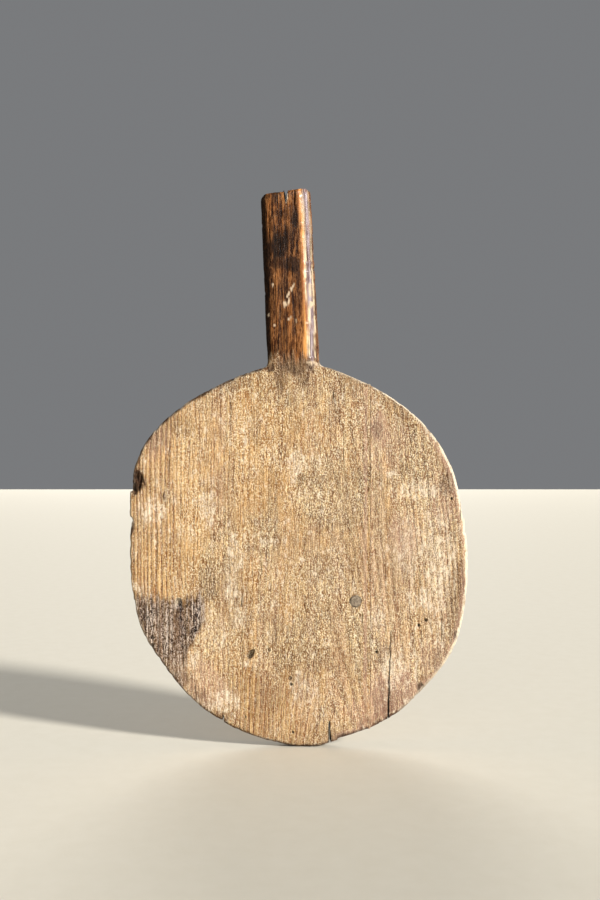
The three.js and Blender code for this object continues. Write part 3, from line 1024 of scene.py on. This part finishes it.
def dusted(g, t, colour):
    """Dirt in the pores, bare wood on the raised fibres, and flecks and curls of chalky flour"""
    dark = g.mix(t.grime, rgb(172, 138, 104), g.mix(t.tar, rgb(122, 98, 84), rgb(90, 68, 60)))
    pale = g.mix(t.grime, rgb(255, 224, 170), g.mix(t.tar, rgb(192, 162, 134), rgb(196, 168, 150)))
    chalk = g.mix(t.grime, rgb(255, 240, 206), g.mix(t.tar, rgb(204, 180, 156), rgb(228, 212, 204)))
    for share in (
        g.times(g.between(t.strokes, 0.47, 0.35, 0.0, 0.8), t.rough),
        g.between(t.grit, 0.42, 0.3, 0.0, 0.4),
        g.times(g.between(t.fine_grit, 0.48, 0.38, 0.0, 0.85), t.rough),
    ):
        colour = g.shade(share, colour, dark)
    bare = g.times(t.rough, g.rest(g.times(t.tar, 0.7)))
    dash = g.plus(t.lines, g.plus(g.times(t.strokes, 0.9), g.times(t.fine_grit, 0.7)))
    chance = g.plus(t.flecks, g.times(t.flour, 0.12))
    cover = g.times(g.between(chance, 0.57, 0.65, 0.0, 0.8), g.between(t.grime, 0.2, 1.0, 1.0, 0.2))
    curl = g.math("ABSOLUTE", g.math("SUBTRACT", t.curls, 0.5))
    curl = g.times(g.between(curl, 0.034, 0.01), g.between(t.flour, 0.3, 0.75, 0.0, 0.65))
    return g.layers(
        colour,
        (g.times(g.between(t.strokes, 0.52, 0.62, 0.0, 0.82), bare), pale),
        (g.times(g.between(t.fine_grit, 0.52, 0.6), bare), chalk),
        (g.times(t.tar, g.between(dash, 1.36, 1.41, 0.0, 0.85)), rgb(224, 206, 190)),
        (cover, g.mix(t.grime, rgb(250, 232, 206), chalk)),
        (curl, g.mix(t.grime, rgb(255, 240, 216), chalk)),
    )


def shaded_and_worn(g, t, colour):
    """Painted shade on the rims that face away from the light and in the chips, and the rim where wear has
    bared pale wood, with a painted highlight where it faces the light
    """
    painted_shade = g.times(t.scorch, g.between(t.strokes, 0.36, 0.66, 1.0, 0.7))
    colour = g.mix(painted_shade, colour, g.mix(g.between(t.grit, 0.4, 0.6), rgb(30, 20, 15), rgb(80, 54, 38)))
    return g.mix(g.times(t.wear, g.between(t.grit, 0.36, 0.5, 0.35, 1.0)), colour, rgb(255, 240, 214))


def handle_wood(g, t):
    """Dark patina over amber wood, with painted shade down the left side, rubbed back to pale wood along
    the right arris, with a painted reflection on the flat beside it and a painted highlight at its edge
    """
    grain = g.plus(g.times(t.streaks, 0.65), g.times(t.fibres, 0.4))
    black = g.times(t.soot, g.between(t.grit, 0.35, 0.66, 1.0, 0.8))
    rubbed = g.times(g.between(t.fibres, 0.49, 0.38, 0.0, 0.4), g.between(black, 0.0, 0.7, 1.0, 0.05))
    wood = g.layers(
        g.mix(g.between(grain, 0.4, 0.62), rgb(152, 96, 50), rgb(62, 33, 15)),
        (g.times(t.soft, 0.35), rgb(38, 18, 9)),
        (g.times(t.amber, g.between(grain, 0.6, 0.42)), rgb(172, 116, 66)),
        (g.between(t.fine_grit, 0.55, 0.66, 0.0, 0.35), rgb(186, 136, 90)),
        (black, g.mix(g.between(t.streaks, 0.45, 0.6), rgb(10, 6, 4), rgb(40, 25, 16))),
        (rubbed, rgb(164, 110, 62)),
    )
    wood = g.shade(g.between(t.fibres, 0.51, 0.6, 0.0, 0.8), wood, rgb(122, 88, 62))
    wood = g.shade(g.between(t.strokes, 0.5, 0.4, 0.0, 0.75), wood, rgb(130, 98, 72))
    return g.layers(
        wood,
        (g.times(g.between(t.strokes, 0.56, 0.64, 0.0, 0.3), g.rest(black)), rgb(190, 142, 98)),
        (t.arris, g.mix(g.between(t.streaks, 0.42, 0.58), rgb(226, 160, 92), rgb(150, 88, 44))),
        (t.facet, g.mix(g.between(grain, 0.42, 0.58), rgb(176, 162, 168), rgb(104, 80, 80))),
        (g.times(t.cream, g.between(grain, 0.64, 0.5)), rgb(255, 236, 194)),
    )


def pine_relief(g, t):
    """Heights for the bump, each pattern's share going from one value on raw wood to another on polished"""
    raised = g.times(t.grit, g.between(t.polish, 0.0, 1.0, 1.0, 0.2))
    for pattern, raw, polished in (
        (t.fine_grit, 1.5, 0.1),
        (t.strokes, 1.4, 0.3),
        (t.fibres, -0.9, -0.55),
        (t.lines, -0.7, -0.4),
    ):
        raised = g.plus(raised, g.times(pattern, g.between(t.polish, 0.0, 1.0, raw, polished)))
    return g.plus(raised, g.times(t.hard, 0.15))


def old_pine(name, early, late, seed):
    """Weathered pine, and the polished handle, each where the mesh's marks say it is"""
    g = Graph(name)
    t = pine_textures(g, seed)
    colour = shaded_and_worn(g, t, dusted(g, t, stained(g, t, bare_wood(g, t, early, late))))
    colour = g.layers(
        colour,
        (t.polish, handle_wood(g, t)),
        # Pale scuffs; the one on the neck's right corner is a painted highlight
        (t.scuff, rgb(212, 188, 158)),
        # Painted shade, near black, deep inside holes, checks and gaps
        (g.between(t.pit, 0.93, 1.0), rgb(22, 15, 11)),
    )
    raw = g.between(t.grit, 0.3, 0.7, 0.78, 0.95)
    gloss = g.between(g.plus(t.streaks, g.times(t.grit, 0.4)), 0.5, 0.9, 0.2, 0.42)
    shiny = g.times(t.polish, g.rest(g.most(t.lee, t.pit)))
    rough = g.plus(g.times(shiny, gloss), g.times(g.rest(shiny), raw))
    g.surface(colour, rough, pine_relief(g, t), 1.0, MM)
    g.feed(g.shader.inputs["Coat Weight"], g.times(shiny, g.between(t.sheen, 0.0, 1.0, 0.02, 0.4)))
    g.feed(g.shader.inputs["Specular IOR Level"], g.between(t.sheen, 0.0, 1.0, 0.12, 0.3))
    g.shader.inputs["Coat Roughness"].default_value = 0.22
    return g.material


def plain_wood(name, pale, dark, seed):
    """Clean straight-grained wood for the hidden tongues"""
    g = Graph(name)
    fibres, streaks = g.speckle(1400, 60, 3, 0.6, seed), g.speckle(300, 14, 3, 0.6, seed + 2)
    colour = g.mix(g.between(streaks, 0.3, 0.7), pale, dark)
    colour = g.mix(g.between(fibres, 0.4, 0.8, 0.0, 0.5), colour, dark)
    g.surface(colour, g.between(fibres, 0.2, 0.8, 0.65, 0.85), fibres, 0.5, 0.2 * MM)
    return g.material


def end_grain(name):
    """The peg's weathered end grain: grey, mottled, with its own small rings, and painted shade in the gap
    at its rim
    """
    g = Graph(name)
    hard = g.between(g.math("FRACT", g.read("ring")), 0.4, 0.9)
    mottle, pores = g.speckle(520, 520, 5, 0.7, 40), g.speckle(2600, 2600, 2, 0.6, 43)
    colour = g.layers(
        g.mix(g.between(mottle, 0.35, 0.65), rgb(108, 96, 82), rgb(168, 152, 130)),
        (g.times(hard, 0.4), rgb(78, 66, 56)),
        (g.between(pores, 0.55, 0.72, 0.0, 0.6), rgb(60, 50, 43)),
        (g.read("pit"), rgb(30, 23, 18)),
    )
    raised = g.plus(g.times(pores, -0.6), mottle)
    g.surface(colour, g.between(mottle, 0.3, 0.7, 0.7, 0.9), raised, 0.8, 0.3 * MM)
    g.shader.inputs["Specular IOR Level"].default_value = 0.25
    return g.material


# -------- the pieces

def add(name, data):
    """A new object in the scene"""
    made = bpy.data.objects.new(name, data)
    bpy.context.scene.collection.objects.link(made)
    return made


def make_object(name, points, faces, marks, material):
    """A smooth-shaded mesh from points in millimetres, which holds each mark's value at every point"""
    mesh = bpy.data.meshes.new(name)
    mesh.from_pydata((points * MM).tolist(), [], faces)
    for key, values in marks.items():
        attribute = mesh.attributes.new(key, "FLOAT", "POINT")
        attribute.data.foreach_set("value", np.ascontiguousarray(values, np.float32))
    mesh.materials.append(material)
    mesh.shade_smooth()
    mesh.validate()
    return add(name, mesh)


def make_peg(material):
    """The peg: a whittled round with slightly domed, split end grain at both faces"""
    sides, rings_across, rows = 48, 9, 6
    angle = np.linspace(0, 2 * np.pi, sides, endpoint=False)
    low, high = peg_low[1] + 0.15, peg_high[1] - 0.15
    radius = PEG_RADIUS * (1 - 0.018 * (1 + np.cos(angle * 7)) - 0.02 * np.sin(angle * 2 + 1))
    tiers = [(share, low + 0.5 * share**6) for share in np.linspace(0.001, 1, rings_across)]
    tiers += [(1.0, y) for y in np.linspace(low + 0.5, high - 0.5, rows + 2)[1:-1]]
    tiers += [(share, high - 0.5 * share**6) for share in np.linspace(1, 0.001, rings_across)]
    points = []
    for share, y in tiers:
        x, z = share * radius * np.cos(angle), share * radius * np.sin(angle)
        points.append(np.c_[peg_x + x, np.full(sides, y), peg_z + z])
    points = np.vstack(points)
    on_end = np.repeat([i < rings_across or i >= rings_across + rows for i in range(len(tiers))], sides)
    inward = np.where(points[:, 1] < peg_y, 1, -1)
    points[:, 1] += inward * on_end * 0.2 * (1 + noise(points, 1.3, 71, 2))
    faces = []
    for start in range(0, (len(tiers) - 1) * sides, sides):
        for i in range(sides):
            j = (i + 1) % sides
            faces.append((start + i, start + j, start + sides + j, start + sides + i))
    faces.append(tuple(reversed(range(sides))))
    faces.append(tuple(range(len(points) - sides, len(points))))
    from_middle = np.hypot(points[:, 0] - peg_x - 1.2, points[:, 2] - peg_z + 0.8)
    from_centre = np.hypot(points[:, 0] - peg_x, points[:, 2] - peg_z)
    # Painted shade in the gap round the peg's rim
    gap = ramp(from_centre, PEG_RADIUS * 0.86, PEG_RADIUS * 0.99)
    marks = {"ring": from_middle / 1.1, "pit": gap * 0.3}
    peg = make_object("peg_visual", points, faces, marks, material)
    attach(peg, "root")
    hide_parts("tongue_peg")


def dress(node, material):
    """Gives a CAD node that stays its finished material"""
    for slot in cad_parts[node].material_slots:
        slot.material = material


def make_floor():
    bpy.ops.mesh.primitive_plane_add(size=FLOOR_SIZE)
    floor = bpy.context.object
    floor.name = "floor"
    g = Graph("pale_floor")
    colour = g.mix(g.speckle(60, 60, 4, 0.6, 80), rgb(204, 199, 184), rgb(212, 208, 195))
    g.feed(g.shader.inputs["Base Color"], colour)
    g.shader.inputs["Roughness"].default_value = 0.9
    floor.data.materials.append(g.material)


def make_light(name, place, target, size, watts, tint):
    data = bpy.data.lights.new(name, "AREA")
    data.shape, data.size, data.energy, data.color = "DISK", size, watts, tint
    light = add(name, data)
    light.location = place
    light.rotation_euler = (Vector(target) - light.location).to_track_quat("-Z", "Y").to_euler()


def light_the_scene():
    middle = (0, 0, TOP / 2 * MM)
    make_light("key", (32.0, -24.0, 18.9), middle, 6.0, 31500, (1.0, 0.96, 0.905))
    make_light("fill", (-3.6, -13.2, 6.1), middle, 9.0, 198, (0.93, 0.96, 1.0))
    make_light("back", (-1.0, 13.0, 6.2), middle, 8.0, 1320, (1.0, 0.97, 0.93))
    world = bpy.data.worlds.new("studio")
    world.use_nodes = True
    world.node_tree.nodes["Background"].inputs["Color"].default_value = (0.8, 0.82, 0.85, 1)
    world.node_tree.nodes["Background"].inputs["Strength"].default_value = 0.24
    bpy.context.scene.world = world
    bpy.context.scene.view_settings.view_transform = "Standard"


def make_camera():
    data = bpy.data.cameras.new("camera")
    data.sensor_width = SENSOR
    data.lens = SENSOR * CAMERA_DISTANCE / FIELD_AT_PEEL
    camera = add("camera", data)
    camera.location = Vector((CAMERA_SHIFT, -CAMERA_DISTANCE, TOP / 2 + CAMERA_LIFT)) * MM
    camera.rotation_euler = (math.radians(90), 0, 0)
    bpy.context.scene.camera = camera


make_camera()
light_the_scene()
make_floor()

main_pine = old_pine("main_pine", rgb(222, 186, 138), rgb(158, 116, 76), 1.0)
main = Board("main_board").make("main_board_visual", main_pine)
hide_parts("main_board")
side_pine = old_pine("side_pine", rgb(220, 188, 150), rgb(162, 120, 86), 20.0)
side = Board("side_board").make("side_board_visual", side_pine)
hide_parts("side_board")
make_peg(end_grain("peg_end_grain"))
tongue_wood = plain_wood("tongue_wood", rgb(206, 166, 112), rgb(150, 104, 60), 60.0)
dress("lower_tongue", tongue_wood)
dress("upper_tongue", tongue_wood)
